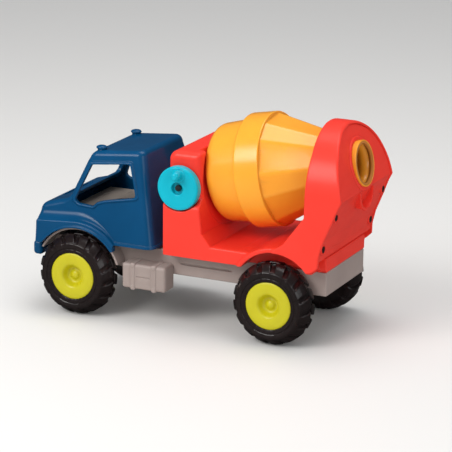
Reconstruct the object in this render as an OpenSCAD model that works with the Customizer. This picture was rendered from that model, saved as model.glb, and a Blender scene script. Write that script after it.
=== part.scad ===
// Push-along toy cement mixer truck, built as separate moulded pieces.
// Millimetres. +X points to the rear of the truck, -X to its nose, +Z up, -Y to its left.
// Origin: on the ground, midway along the length, on the centre plane.

/* [Layout] */
// Distance from the front axle to the rear axle
wheelbase = 208; // [206:1:212]
// Position of the front axle along X
front_axle_x = -112; // [-114:1:-110]
// Outer width over the wheels
track_w = 150; // [148:1:154]

/* [Wheels] */
// Outer radius of the tyres
tyre_r = 40; // [38.5:0.5:41]
// Width of the tyres
tyre_w = 27; // [24:1:27]
// Radius of the bright rim face
rim_r = 23.3; // [21:0.1:25]
// Radius of the steel axles
axle_r = 2.5; // [2:0.1:3]
// Tread blocks around one tyre
tread_blocks = 16; // [12:1:28]

/* [Cab] */
// Height of the cab roof at its rear edge
roof_z = 163; // [160:1:166]
// Half width of the roof
roof_half_w = 42.5; // [40:0.5:45]
// Half width of the cab at its bottom edge
cab_half_w = 62.5; // [60:0.5:64]
// Wall thickness of the mouldings
wall = 3; // [2.5:0.1:3.2]

/* [Body] */
// Height of the front tower's top
tower_z = 171; // [169:1:175]
// Half width of the upper tower, which carries the crank
tower_half_w = 55; // [54:0.5:57]
// Half width of the lower body
body_half_w = 63; // [61:0.5:64]
// Radius of the round hoop behind the drum
hoop_r = 65; // [64:0.5:66]

/* [Drum] */
// Tilt of the drum axis, rising to the rear
drum_tilt = 10.3; // [10:0.1:10.6]
// Largest radius of the drum, at its ring
ring_r = 55; // [53:0.5:55.5]
// Radius of the mouth tube that runs in the hoop's collar
mouth_r = 22; // [20:0.5:23]
// Running clearance on round bearings
run_gap = 0.05; // [0.03:0.01:0.08]

/* [Crank] */
// Radius of the crank disc
crank_r = 21.3; // [19:0.1:21.8]
// Thickness of the crank disc
crank_t = 8.5; // [7:0.5:9]
// Distance from the crank's centre to its handle peg
peg_off = 13.5; // [12:0.5:14]

/* [Gears] */
// Teeth on the crank pinion
pinion_teeth = 8; // [8:1:8]
// Teeth on the drum crown gear
crown_teeth = 20; // [20:1:20]

/* [Hidden] */
$fn = 64;

// Colours shared by several pieces
chassis_grey = [0.66, 0.6, 0.56];
panel_red = [0.95, 0.24, 0.19];
drum_yellow = [1, 0.72, 0.27];
gear_white = [0.95, 0.95, 0.9];
rim_yellow = [0.85, 0.83, 0.12];
tyre_black = [0.17, 0.12, 0.12];
screw_grey = [0.3, 0.3, 0.32];

// Frame and wheels
front_x = front_axle_x;            // short name, used by every outline
rear_x = front_x + wheelbase;
wheel_y = track_w / 2;             // outer face of the wheels
axle_z = 38.5;                     // before raised() lifts the truck onto its tyres
plate_z = 70;                      // top of the chassis plate
rail_z = 46.5;                     // lower edge of the rails
rail_y = 46;                       // outer side of the rails
tail_x = rear_x + 47;              // rear end of the chassis plate and the deck
arch_r = 46.5;                     // opening of the front wheel arches

// Drum, crank and gears
drum_x = front_x + 162.1;          // drum ring's front plane, on the axis
drum_z = 147.2;
crank_s = -54.5;                   // where the crank axis meets the drum axis
crank_x = drum_x + crank_s * cos(drum_tilt);
crank_z = drum_z + crank_s * sin(drum_tilt);
tower_left = -tower_half_w;        // side face behind the crank
disc_y = tower_left - 1.5;         // inner face of the crank disc
disc_face_y = disc_y - crank_t;    // outer face of the crank disc
pinion_pitch_r = 7.2;
crown_pitch_r = pinion_pitch_r * crown_teeth / pinion_teeth;
crown_s = crank_s + 8.9;           // front face of the crown gear's plate
shaft_r = 3;                       // drum spindle and crank shaft

// Screws and fits
tight_gap = 0.02;                  // gap in bores that grip
washer_gap = 0.04;
screw_r = 1.5;
small_screw_r = 1.2;
clear_r = 1.8;                     // hole a screw passes through
pilot_r = screw_r + tight_gap;     // hole a screw bites into
small_pilot_r = small_screw_r + tight_gap;
post_r = 4;
post_y = 36;                       // screws up through the plate
cab_points = plate_points([-24, 62]);
body_points = plate_points([110, 170]);
box_screw_xs = [front_x + 59, front_x + 87];
box_screw_z = 52;

// Rear panel screws: height, then end of the post and seat of the head, behind the front axle
panel_stations = [[96, 251.9, 254.9], [128, 263.4, 266.95]];
post_end = 1;                      // column numbers
head_seat = 2;
panel_screw_y = 58;

// ---- helpers -------------------------------------------------------------
function plate_points(xs) = [for (x = xs, y = [-post_y, post_y]) [front_x + x, y]];

// moves points whose X is measured from the front axle into the truck's frame
function from_front(points) = [for (p = points) [front_x + p[0], for (i = [1:len(p) - 1]) p[i]]];

function unit(v) = v / norm(v);

// arc of radius r, in the given steps, that rounds the corner between two neighbours
function corner(before, tip, after, r, steps) = r <= 0 ? [tip] :
    let (
        u = unit(before - tip),
        v = unit(after - tip),
        half = acos(u * v) / 2,
        centre = tip + unit(u + v) * r / sin(half),
        from = tip + u * r / tan(half) - centre,
        to = tip + v * r / tan(half) - centre,
        start = atan2(from[1], from[0]),
        turn = (atan2(to[1], to[0]) - start + 540) % 360 - 180
    )
    [for (i = [0:steps]) centre + r * [cos(start + turn * i / steps), sin(start + turn * i / steps)]];

function xy(p) = [p[0], p[1]];

// polygon points with each corner rounded by its third value
function rounded(points) = let (n = len(points)) [for (i = [0:n - 1])
    each corner(xy(points[(i + n - 1) % n]), xy(points[i]), xy(points[(i + 1) % n]),
        points[i][2], 5)];

module round_rect(x0, x1, z0, z1, r)
    polygon(rounded([[x0, z0, r], [x1, z0, r], [x1, z1, r], [x0, z1, r]]));

// lifts every piece so that the tyres stand on the ground
module raised() translate([0, 0, tyre_r - axle_z]) children();

// profile drawn in X and Z, running from y0 to y1
module along_y(y0, y1)
    translate([0, y1, 0]) rotate([90, 0, 0]) linear_extrude(y1 - y0) children();

// profile drawn in Y and Z, running from x0 to x1
module along_x(x0, x1)
    translate([x0, 0, 0]) rotate([90, 0, 90]) linear_extrude(x1 - x0) children();

module rod_y(x, z, r, y0, y1)
    translate([x, y1, z]) rotate([90, 0, 0]) cylinder(r = r, h = y1 - y0);

// small rod running back from x
module rod_x(x, y, z, r, h)
    translate([x, y, z]) rotate([0, 90, 0]) cylinder(r = r, h = h, $fn = 32);

// upright rod at each point
module rods_z(points, z, r, h)
    for (p = points) translate([p[0], p[1], z]) cylinder(r = r, h = h, $fn = 32);

module to_right() mirror([0, 1, 0]) children();

module both() {
    children();
    to_right() children();
}

module cuboid(x0, x1, y0, y1, z0, z1)
    translate([x0, y0, z0]) cube([x1 - x0, y1 - y0, z1 - z0]);

// cuboid on the left (side = -1) or right (side = 1), y0 and y1 off the centre plane
module side_cuboid(x0, x1, side, y0, y1, z0, z1)
    cuboid(x0, x1, min(side * y0, side * y1), max(side * y0, side * y1), z0, z1);

// webs from the plate screw posts out to a side wall
module post_webs(points, y1, z0, z1)
    for (p = points) side_cuboid(p[0] - 1, p[0] + 1, sign(p[1]), post_y, y1, z0, z1);

// drum frame: local Z runs along the tilted drum axis, local X points down and back
module drum_frame() translate([drum_x, 0, drum_z]) rotate([0, 90 - drum_tilt, 0]) children();

// crank frame: local Z runs out to the left along the crank axis
module crank_frame(y) translate([crank_x, y, crank_z]) rotate([90, 0, 0]) children();

module crank_rod(r, y0, y1) rod_y(crank_x, crank_z, r, y0, y1);

// rod at each rear panel screw, starting at a column of panel_stations plus an offset
module panel_rods(column, offset, r, h)
    for (side = [-1, 1], s = panel_stations)
        rod_x(front_x + s[column] + offset, side * panel_screw_y, s[0], r, h);

module washer(r, bore_r, h, cutter_h) difference() {
    cylinder(r = r, h = h);
    translate([0, 0, -1]) cylinder(r = bore_r, h = cutter_h);
}

// shank upwards from z = 0, head below it
module screw(length, head_r, head_h) {
    translate([0, 0, -head_h]) cylinder(r = head_r, h = head_h, $fn = 32);
    cylinder(r = screw_r, h = length, $fn = 32);
}

// ---- chassis -------------------------------------------------------------
// hollows under the plate, each from X to X
centre_bays = [[front_x - 33, front_x + 30], [front_x + 33, front_x + 100],
    [front_x + 103, front_x + 158], [front_x + 161, rear_x + 44]];
rail_bays = [[front_x - 33, front_x - 14], [front_x + 14, front_x + 100],
    [front_x + 103, rear_x - 14], [rear_x + 14, rear_x + 44]];

// inner wheel arch over the right front wheel
module liner() difference() {
    rod_y(front_x, axle_z, 45.9, 46, 62);
    rod_y(front_x, axle_z, 43.6, 45, 63);
    cuboid(front_x - 60, front_x + 60, 40, 80, -20, 52);
    cuboid(front_x - 60, front_x - 37.5, 40, 80, 40, 60);
}

module axle_pedestal(x) along_y(30, rail_y)
    polygon(rounded([[x - 13, rail_z + 4, 0], [x - 9, axle_z - 7, 5],
        [x + 9, axle_z - 7, 5], [x + 13, rail_z + 4, 0]]));

module chassis_frame() raised() color(chassis_grey) difference() {
    union() {
        cuboid(front_x - 36, tail_x, -rail_y, rail_y, rail_z, plate_z);
        both() liner();
        for (x = [front_x, rear_x]) both() axle_pedestal(x);
    }
    // hollow underside, split by cross ribs
    for (bay = centre_bays)
        cuboid(bay[0], bay[1], -27, 27, rail_z - 1, plate_z - wall);
    for (bay = rail_bays)
        both() cuboid(bay[0], bay[1], 30, rail_y - wall, rail_z - 1, plate_z - wall);
    for (x = [front_x, rear_x])
        rod_y(x, axle_z, axle_r + run_gap, -rail_y - 1, rail_y + 1);
    // screw holes through the plate and the rails
    rods_z(cab_points, plate_z - 5, clear_r, 6);
    rods_z(body_points, plate_z - 5, clear_r, 6);
    both() for (x = box_screw_xs)
        rod_y(x, box_screw_z, clear_r, rail_y - wall - 1, rail_y + 1);
}

// strapped box on the left rail
module side_box() {
    x0 = front_x + 49.5;
    x1 = front_x + 96;
    post_end_y = -56;
    difference() {
        union() {
            along_y(-65, -rail_y) round_rect(x0, x1, 32, 57, 3);
            // straps
            for (x = [x0 + 9, x0 + 31.5])
                along_y(-66, -rail_y) round_rect(x, x + 5.5, 31, 58, 2);
        }
        cuboid(x0 + 3, x1 - 3, -62, -rail_y - 3, 35, 54);
        // slot in the outer face
        cuboid(x0 + 15.5, x0 + 30.5, -66, -64.2, 44.2, 45.2);
        for (x = box_screw_xs) rod_y(x, box_screw_z, pilot_r, post_end_y, -rail_y + 1);
    }
    // screw posts inside the box
    difference() {
        for (x = box_screw_xs) rod_y(x, box_screw_z, 3.4, post_end_y, -rail_y - 2.9);
        for (x = box_screw_xs) rod_y(x, box_screw_z, pilot_r, post_end_y - 1, -rail_y + 1);
    }
}

module side_box_left() raised() color(chassis_grey) side_box();
module side_box_right() raised() color(chassis_grey) to_right() side_box();

// ---- cab -----------------------------------------------------------------
// Side outlines: X behind the front axle, Z, corner radius
cab_window = [
    [8, 145, 3], [49, 149.5, 4], [58.5, 119, 3], [25, 112.8, 5],
    [17, 110, 3], [13.5, 106, 3], [-2, 107, 4], [-7, 110, 4]];
cab_window_lip = [
    [6, 147.3, 4], [51.5, 152.3, 5], [61.3, 116.6, 4], [25.5, 110.6, 5],
    [17.5, 107.5, 3], [14, 103.5, 3], [-3, 104.6, 5], [-9.5, 109, 5]];
// Windscreen opening: Y, Z, corner radius
windscreen = [[-44.5, 115, 4], [44.5, 115, 4], [38, 149, 5], [-38, 149, 5]];

// side outline of the cab, inset from the outer skin; an inset one opens downwards
module cab_side(inset) {
    bottom = 72 - (inset > 0 ? 4 : 0);
    polygon(rounded(from_front([
        [-44.5 + inset, bottom, 0],
        [-44.5 + inset, 102 - inset, 6 - inset],
        [-14 + inset, 110.5 - inset, 4],
        [6.5 + inset, 157.5 - inset, 5 - inset / 2],
        [62 - inset, roof_z - inset, 6 - inset],
        [81 - inset, bottom, 0]])));
}

module cab_front(inset) {
    bottom = 72 - (inset > 0 ? 4.4 : 0);
    bottom_y = cab_half_w - inset + (inset > 0 ? 1 : 0);
    top = roof_z + 2 - inset;
    top_y = roof_half_w - inset;
    polygon([[-bottom_y, bottom], [-top_y, top], [top_y, top], [bottom_y, bottom]]);
}

module cab_solid(inset) intersection() {
    along_y(-80, 80) cab_side(inset);
    along_x(front_x - 60, front_x + 100) cab_front(inset);
}

// raised lips round the side windows follow the leaning sides
module window_lips() intersection() {
    cab_solid(-1.2);
    along_y(-90, 90) polygon(rounded(from_front(cab_window_lip)));
    both() cuboid(front_x - 60, front_x + 80, 36, 80, 90, 160);
}

// flared arch over the right front wheel
module arch_flare() intersection() {
    difference() {
        union() {
            rod_y(front_x, axle_z, 52.5, 47, 67);
            cuboid(front_x - 42, front_x, 47, 67, axle_z + 30, axle_z + 49);
        }
        rod_y(front_x, axle_z, arch_r, 40, 80);
    }
    cuboid(front_x - 42, front_x + 60, 47, 67, 66, 100);
}

module cab_shell() raised() color([0.01, 0.24, 0.42]) difference() {
    union() {
        difference() {
            cab_solid(0);
            cab_solid(wall);
        }
        window_lips();
        both() arch_flare();
        // bumper bar and its web up to the nose
        along_x(front_x - 52, front_x - 42) round_rect(-59, 59, 50, 64, 4);
        cuboid(front_x - 44.5, front_x - 39, -44, 44, 52, 76);
        // nose louvres
        for (i = [0:4])
            cuboid(front_x - 45.7, front_x - 42, -34, 34, 71 + i * 5.4, 74 + i * 5.4);
        // roof marker lights
        for (y = [-36, 36])
            translate([front_x + 13, y, 157.6]) cylinder(r1 = 4.2, r2 = 3.2, h = 2.8, $fn = 32);
        rods_z(cab_points, plate_z, post_r, 16);
        post_webs(cab_points, 58.5, 77, 84);
    }
    along_y(-90, 90) polygon(rounded(from_front(cab_window)));
    along_x(front_x - 60, front_x + 22) polygon(rounded(windscreen));
    // wheel arches
    both() rod_y(front_x, axle_z, arch_r, rail_y, 90);
    // clear of the chassis plate
    cuboid(front_x - 36.2, rear_x, -rail_y - 0.2, rail_y + 0.2, 40, plate_z);
    rods_z(cab_points, plate_z - 1, pilot_r, 15);
}

// tray on two side walls, with a raised block at its rear and a round pocket
module cab_seat_tray() raised() color([0.66, 0.62, 0.58]) difference() {
    pocket_x = front_x + 24;
    tray_rear = front_x + 56;
    union() {
        cuboid(front_x - 20.5, tray_rear, -44, 44, 95, 98);
        both() cuboid(front_x + 2, tray_rear, 38, 41, plate_z, 96);
        cuboid(front_x + 46, tray_rear, -30, 30, 97, 112);
        translate([pocket_x, 0, 86]) cylinder(r = 19, h = 12);
    }
    translate([pocket_x, 0, 88]) cylinder(r = 16.5, h = 12);
}

// ---- body ----------------------------------------------------------------
deck_z = 84;
deck_x = front_x + 172;
hoop_z = 140;                      // centre of the hoop's round top

// Hoop from the side: X behind the front axle, Z
hoop_outline = [
    [205, 78], [208, 90.5], [218.6, 98], [230, 113.7], [238.5, 125.3], [238.5, 182],
    [236.8, 197], [234, 207], [253, 207], [257.2, 201], [261.2, 193.5], [265.3, 182.5],
    [269.3, 169], [272.8, 156.4], [275.6, 143.4], [271.9, 136], [265.8, 120.3],
    [258.7, 103.4], [255.3, 90.6], [254.7, 80], [249, 74.5], [240, 72]];
// Space inside the hoop, ahead of its rear edge: same columns
hoop_hollow = [
    [195, 84], [195, 210], [250, 210], [254, 201], [257.6, 193.5], [261.7, 182.5],
    [265.7, 169], [269.2, 156.4], [271.9, 143.4], [268.2, 136], [262.1, 120.3],
    [255, 103.4], [251.6, 90.6], [251, 72], [251, 60], [195, 60]];

// rear face of the tower, behind the front axle:
// steep outside, parallel to the drum's front inside
function tower_rear(z, inset) =
    inset > 0 ? 122.2 - (z - 140.7) * tan(drum_tilt) :
    z > 110 ? 130 - (z - 120) * 0.05 : 133.2;

module lower_outer() polygon(rounded(from_front([
    [92, plate_z, 3], [92, 127, 0], [tower_rear(127, 0), 127, 0], [tower_rear(95, 0), 95, 0],
    [142.2, deck_z, 0], [192, deck_z, 0], [192, 80, 0], [182, 77, 0], [174, plate_z, 0]])));

module lower_inner() polygon(from_front([
    [92 + wall, plate_z - 1], [92 + wall, 128], [tower_rear(128, wall), 128],
    [tower_rear(95, wall) - 3, 93], [136, deck_z - wall], [190, deck_z - wall],
    [180, 77 - wall / 2], [173, plate_z - 1]]));

module tower_side(inset) {
    top = tower_z - inset;
    polygon(rounded(from_front([
        [94 + inset, 100, 0], [94 + inset, top, 9 - inset],
        [tower_rear(top, inset), top, 5 - inset / 2], [tower_rear(100, inset), 100, 0]])));
}

module hoop_front(inset) {
    r = hoop_r - inset;
    polygon([
        [-r - 4, 70 - inset], [-r, hoop_z],
        for (i = [1:35]) let (a = 180 - i * 5) [r * cos(a), hoop_z + r * sin(a)],
        [r, hoop_z], [r + 4, 70 - inset]]);
}

module hoop_slab() along_y(-90, 90) polygon(from_front(hoop_outline));

module lower_body() difference() {
    along_y(-body_half_w, body_half_w) lower_outer();
    // hollow, leaving material round the crank recess
    difference() {
        along_y(-body_half_w + wall, body_half_w - wall) lower_inner();
        crank_rod(crank_r + 4.4, -70, tower_left + 1);
    }
    // shoulder: the upper tower is set in from the lower body
    both() along_x(front_x + 80, front_x + 150)
        polygon([[tower_half_w, 130], [70, 130], [70, 119.5], [body_half_w, 119.5],
            [tower_half_w, 126.5]]);
}

module tower() difference() {
    intersection() {
        along_y(-tower_half_w, tower_half_w) tower_side(0);
        along_x(front_x + 80, front_x + 150)
            polygon(rounded([[-tower_half_w, 90, 0], [-tower_half_w, tower_z, 7],
                [tower_half_w, tower_z, 7], [tower_half_w, 90, 0]]));
    }
    along_y(-tower_half_w + wall, tower_half_w - wall) tower_side(wall);
}

// arch over the rear wheels: a hump across the whole width
module fender() difference() {
    rod_y(front_x + 210.3, 46, 46.4, -66, 66);
    cuboid(rear_x - 60, rear_x + 60, -70, 70, -20, plate_z + 2);
}

module wheel_well(y0, y1) rod_y(front_x + 210.8, 45.6, 42.6, y0, y1);

// deck between the fenders
module deck() difference() {
    cuboid(deck_x, tail_x, -47.4, 47.4, plate_z, deck_z);
    cuboid(deck_x - 1, tail_x - wall, -44.4, 44.4, plate_z - 1, deck_z - wall);
}

module hoop() difference() {
    intersection() {
        hoop_slab();
        along_x(front_x + 190, front_x + 290) hoop_front(0);
    }
    along_x(front_x + 190, front_x + 290) hoop_front(wall);
}

module body_shell() raised() color([1, 0.26, 0.2]) difference() {
    union() {
        lower_body();
        tower();
        fender();
        deck();
        hoop();
        // spindle boss and crank boss
        drum_frame() translate([0, 0, -41]) cylinder(r = 7, h = 3.2);
        crank_rod(7, tower_left + 1, tower_left + 12);
        rods_z(body_points, plate_z, post_r, 12);
        post_webs(body_points, 61.5, 74, 81);
        // posts the rear panel is screwed to, and their webs
        panel_rods(post_end, -10, post_r, 10);
        for (side = [-1, 1], s = panel_stations) {
            end_x = front_x + s[post_end];
            side_cuboid(end_x - 10, end_x - 2, side, panel_screw_y, 65.5, s[0] - 1.5, s[0] + 1.5);
        }
    }
    // round pocket the drum's front nests in
    drum_frame() translate([0, 0, -37.6]) cylinder(r = 49, h = 16, $fn = 96);
    both() wheel_well(47.4, 90);
    wheel_well(-44.4, 44.4);
    // round recess behind the crank disc
    crank_rod(crank_r + 1.3, -90, tower_left);
    // clear of the chassis plate
    cuboid(front_x + 90, rear_x + 60, -rail_y, rail_y, 40, plate_z);
    // bearings
    drum_frame() translate([0, 0, -50]) cylinder(r = shaft_r + run_gap, h = 20);
    crank_rod(shaft_r + run_gap, tower_left - 2, tower_left + 14);
    // pilot holes
    rods_z(body_points, plate_z - 1, pilot_r, 12);
    panel_rods(post_end, -9, pilot_r, 12);
}

module hoop_back_panel() raised() color(panel_red) difference() {
    union() {
        difference() {
            intersection() {
                hoop_slab();
                along_x(front_x + 190, front_x + 290) hoop_front(wall + 0.1);
                cuboid(front_x + 247, front_x + 290, -90, 90, 84.2, 204);
            }
            along_y(-90, 90) polygon(from_front(hoop_hollow));
        }
        // collar that carries the drum's mouth
        intersection() {
            drum_frame() translate([0, 0, 98]) cylinder(r = mouth_r + 3.5, h = 20);
            hoop_slab();
        }
        // moulded spout under the mouth
        difference() {
            intersection() {
                translate([front_x + 254, 0, 143]) rotate([0, 101, 0]) cylinder(r = 17, h = 22);
                cuboid(front_x + 258, front_x + 275.8, -20, 20, 110, 142);
            }
            translate([front_x + 250, 0, 144]) rotate([0, 101, 0]) cylinder(r = 14, h = 40);
        }
    }
    drum_frame() translate([0, 0, 80]) cylinder(r = mouth_r + run_gap, h = 60);
    // screw holes and head recesses
    panel_rods(post_end, -1, clear_r, 12);
    panel_rods(head_seat, 0, 3.3, 12);
}

// ---- drum ----------------------------------------------------------------
// profiles are radius and place along the drum axis
module drum_front_cup() raised() color(drum_yellow) drum_frame() difference() {
    rotate_extrude($fn = 96) polygon([
        [0, -35.3], each corner([0, -35.3], [46.5, -35.3], [49.5, -3], 9, 6),
        [49.8, 1.5], [47.3, 1.5], each corner([47.3, 1.5], [44.1, -32.8], [0, -32.8], 7, 6),
        [9, -32.8], [9, -20], [0, -20]]);
    translate([0, 0, -36]) cylinder(r = shaft_r + tight_gap, h = 20);
}

function stave_r(s) = ring_r - 1.1 - (s - 25) * 0.4;

// flat staves of the rear cone: twelve, wide and narrow in turn
module staves(s0, s1)
    translate([0, 0, s0]) linear_extrude(s1 - s0, scale = stave_r(s1) / stave_r(s0))
        polygon([for (k = [0:5], a = [48, 84]) -stave_r(s0) * [cos(a + 60 * k), sin(a + 60 * k)]]);

module drum_rear_cone() raised() color(drum_yellow) drum_frame() difference() {
    seat_r = 49.85;                // fits over the front cup
    union() {
        rotate_extrude($fn = 96) polygon([
            [seat_r, 0], each corner([seat_r, 0], [ring_r, 4], [ring_r, 26], 2.5, 4),
            [ring_r, 26.5], [47, 26.5], [47, 20], [seat_r, 20]]);
        staves(24, 94);
        cylinder(r = mouth_r, h = 112);
    }
    rotate_extrude($fn = 96) polygon([
        [0, -1], [seat_r, -1], [seat_r, 3.2], [ring_r - 2.7, 3.2], [ring_r - 2.7, 20],
        [48.3, 26.5], [mouth_r - 0.4, 91.4], [mouth_r - 2.5, 91.4], [mouth_r - 2.5, 108],
        [mouth_r - 1.2, 108], [mouth_r - 1.2, 113], [0, 113]]);
}

module drum_spindle() raised() color("silver") drum_frame() difference() {
    translate([0, 0, -50]) cylinder(r = shaft_r, h = 28);
    translate([0, 0, -32]) cylinder(r = small_pilot_r, h = 12, $fn = 32);
}

module drum_screw() raised() color(screw_grey)
    drum_frame() translate([0, 0, -20]) rotate([180, 0, 0]) {
        translate([0, 0, -2.4]) cylinder(r = 4.4, h = 2.4, $fn = 32);
        cylinder(r = small_screw_r, h = 10, $fn = 32);
    }

module spindle_washer() raised() color("white")
    drum_frame() translate([0, 0, -37.4]) washer(8, shaft_r + washer_gap, 1.9, 5);

module mouth_seal_ring() raised() color([0.9, 0.55, 0.15])
    drum_frame() translate([0, 0, 108.1]) washer(mouth_r - 1.25, mouth_r - 3.4, 3.9, 6);

module crown_gear() raised() color(gear_white) drum_frame() difference() {
    union() {
        translate([0, 0, crown_s]) cylinder(r = crown_pitch_r + 3, h = 3);
        translate([0, 0, crown_s]) cylinder(r = 6.5, h = 4.2);
        // teeth point forward, to the pinion
        for (i = [0:crown_teeth - 1]) rotate([0, 0, 90 + i * 360 / crown_teeth])
            translate([crown_pitch_r - 2.6, 0, crank_s + 9]) rotate([90, 0, 90])
                linear_extrude(5.2)
                    polygon([[-1.15, 0], [1.15, 0], [0.65, -3.5], [-0.65, -3.5]]);
    }
    translate([0, 0, crank_s]) cylinder(r = shaft_r + tight_gap, h = 20);
}

// ---- crank ---------------------------------------------------------------
pinion_w = 7.2;
bracket_x = front_x + 97;          // front of the bracket's foot
bracket_screw_zs = [-11, 11];      // from the crank axis
bracket_screw_ys = [-16, -4];

module crank_pinion() raised() color(gear_white)
    crank_frame(-crown_pitch_r + 3.6) difference() {
        union() {
            cylinder(r = 5, h = pinion_w);
            for (i = [0:pinion_teeth - 1])
                rotate([0, 0, drum_tilt + (i + 0.5) * 360 / pinion_teeth])
                    linear_extrude(pinion_w)
                        polygon([[4, -1.35], [8.5, -0.6], [8.5, 0.6], [4, 1.35]]);
        }
        translate([0, 0, -1]) cylinder(r = shaft_r + tight_gap, h = 12);
    }

module crank_shaft() raised() color("silver") difference() {
    crank_rod(shaft_r, tower_left - 4.3, -8);
    crank_rod(small_pilot_r, tower_left - 5, tower_left + 5);
}

// handle peg: waisted, with a domed end
module handle_peg()
    translate([crank_x + 1.5, disc_face_y + 1, crank_z + peg_off]) rotate([90, 0, 0])
        rotate_extrude($fn = 48) polygon([
            [0, 0], [6.2, 0], [6.2, 1.2], [4.9, 2.4], [4.5, 7],
            for (i = [1:6]) [4.5 * cos(i * 15), 7 + 4 * sin(i * 15)]]);

module crank_disc() raised() color([0, 0.75, 0.83]) difference() {
    union() {
        crank_frame(disc_y) rotate_extrude($fn = 96) polygon([
            [0, 0], each corner([0, 0], [crank_r, 0], [crank_r, crank_t], 1, 3),
            each corner([crank_r, 0], [crank_r, crank_t], [0, crank_t], 2.2, 5), [0, crank_t]]);
        handle_peg();
    }
    // recess with the screw seat
    crank_rod(6, disc_face_y - 1, disc_face_y + 4.2);
    crank_rod(shaft_r + tight_gap, tower_left - 4.4, tower_left);
    crank_rod(1.4, -70, tower_left);
}

module crank_screw() raised() color([0.25, 0.25, 0.27]) {
    crank_rod(3, tower_left - 7.9, tower_left - 5.85);
    crank_rod(small_screw_r, tower_left - 6, tower_left + 4);
}

module crank_washer() raised() color("white")
    crank_frame(tower_left - 0.2) washer(9, shaft_r + washer_gap, 1.2, 4);

// arm that carries the inner end of the crank shaft, on a foot at the tower's front
module crank_bracket() raised() color(panel_red) difference() {
    union() {
        along_y(-12, -8) polygon(rounded([
            [bracket_x, crank_z - 9, 0], [crank_x + 3, crank_z - 7, 3],
            [crank_x + 3, crank_z + 7, 3], [bracket_x, crank_z + 9, 0]]));
        cuboid(bracket_x, bracket_x + 2.5, -20, 0, crank_z - 14, crank_z + 14);
    }
    crank_rod(shaft_r + run_gap, -13, -7);
    for (z = bracket_screw_zs, y = bracket_screw_ys)
        rod_x(bracket_x - 1, y, crank_z + z, 1.3, 5);
}

module bracket_screws() raised() color(screw_grey)
    for (z = bracket_screw_zs, y = bracket_screw_ys) {
        rod_x(bracket_x + 0.05, y, crank_z + z, small_screw_r, 2.5);
        rod_x(bracket_x + 2.5, y, crank_z + z, 2.2, 1.4);
    }

// ---- wheels --------------------------------------------------------------
// wheel frame: local Z runs inwards from the outer face of a left wheel
module wheel_frame(x) translate([x, -wheel_y, axle_z]) rotate([-90, 0, 0]) children();

module axle(x) rod_y(x, axle_z, axle_r, -wheel_y + 6, wheel_y - 6);

module rim(x) wheel_frame(x) difference() {
    barrel_r = rim_r - 3;
    web_r = rim_r - 5.5;
    rotate_extrude($fn = 96) polygon([
        [0, 2.2], [2, 2.4], [3.6, 3.2], [4.6, 5], [6, 7], [8.5, 7.4], [10.4, 5.5], [11, 1.8],
        [12, 0.9], [rim_r - 1, 0.9], [rim_r, 1.6], [rim_r, 4], [barrel_r, 5.2],
        [barrel_r, tyre_w - 4], [web_r, tyre_w - 4], [web_r, 12], [7, 12], [7, tyre_w],
        [0, tyre_w]]);
    translate([0, 0, 5.9]) cylinder(r = axle_r + tight_gap, h = 60);
}

module tyre(x) wheel_frame(x) difference() {
    rotate_extrude($fn = 96) polygon([
        [rim_r + 0.05, 1.2], [31, 0], [34.2, 1.2], [36.6, 4.2], [tyre_r - 0.4, 8.5],
        [tyre_r, 13], [tyre_r - 0.4, tyre_w - 7], [36, tyre_w - 2], [31, tyre_w],
        [rim_r - 2.95, tyre_w], [rim_r - 2.95, 5.25], [rim_r + 0.05, 4.05]]);
    // tread slots, the outer and inner rows half a pitch apart
    for (i = [0:tread_blocks - 1]) rotate([0, 0, i * 360 / tread_blocks]) {
        translate([36.3, -1.3, 2.4]) cube([5, 2.6, 8.6]);
        rotate([0, 0, 180 / tread_blocks]) translate([36.3, -1.3, 13.4]) cube([5, 2.6, 14]);
    }
    // groove between the rows
    rotate_extrude() polygon([[36.9, 11.6], [41, 11.6], [41, 12.9], [36.9, 12.9]]);
}

module spacers(x) both() difference() {
    rod_y(x, axle_z, 5, rail_y + 0.4, wheel_y - tyre_w - 0.4);
    rod_y(x, axle_z, axle_r + 0.03, rail_y - 1, wheel_y);
}

module front_axle() raised() color("silver") axle(front_x);
module rear_axle() raised() color("silver") axle(rear_x);
module front_rim_left() raised() color(rim_yellow) rim(front_x);
module front_rim_right() raised() color(rim_yellow) to_right() rim(front_x);
module rear_rim_left() raised() color(rim_yellow) rim(rear_x);
module rear_rim_right() raised() color(rim_yellow) to_right() rim(rear_x);
module front_tyre_left() raised() color(tyre_black) tyre(front_x);
module front_tyre_right() raised() color(tyre_black) to_right() tyre(front_x);
module rear_tyre_left() raised() color(tyre_black) tyre(rear_x);
module rear_tyre_right() raised() color(tyre_black) to_right() tyre(rear_x);
module front_axle_spacers() raised() color("white") spacers(front_x);
module rear_axle_spacers() raised() color("white") spacers(rear_x);

// ---- fasteners -----------------------------------------------------------
module plate_screws(points, length)
    for (p = points) translate([p[0], p[1], plate_z - wall]) screw(length, 3.4, 2.2);

module cab_screws() raised() color(screw_grey) plate_screws(cab_points, 14);
module body_screws() raised() color(screw_grey) plate_screws(body_points, 12);

module side_box_screws() raised() color(screw_grey) both() for (x = box_screw_xs)
    translate([x, -rail_y + wall, box_screw_z]) rotate([90, 0, 0]) screw(11, 3, 2);

module panel_screws() raised() color(screw_grey) for (side = [-1, 1], s = panel_stations)
    translate([front_x + s[head_seat], side * panel_screw_y, s[0]]) rotate([0, -90, 0])
        screw(s[head_seat] - s[post_end] + 7, 3, 1.6);

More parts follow.
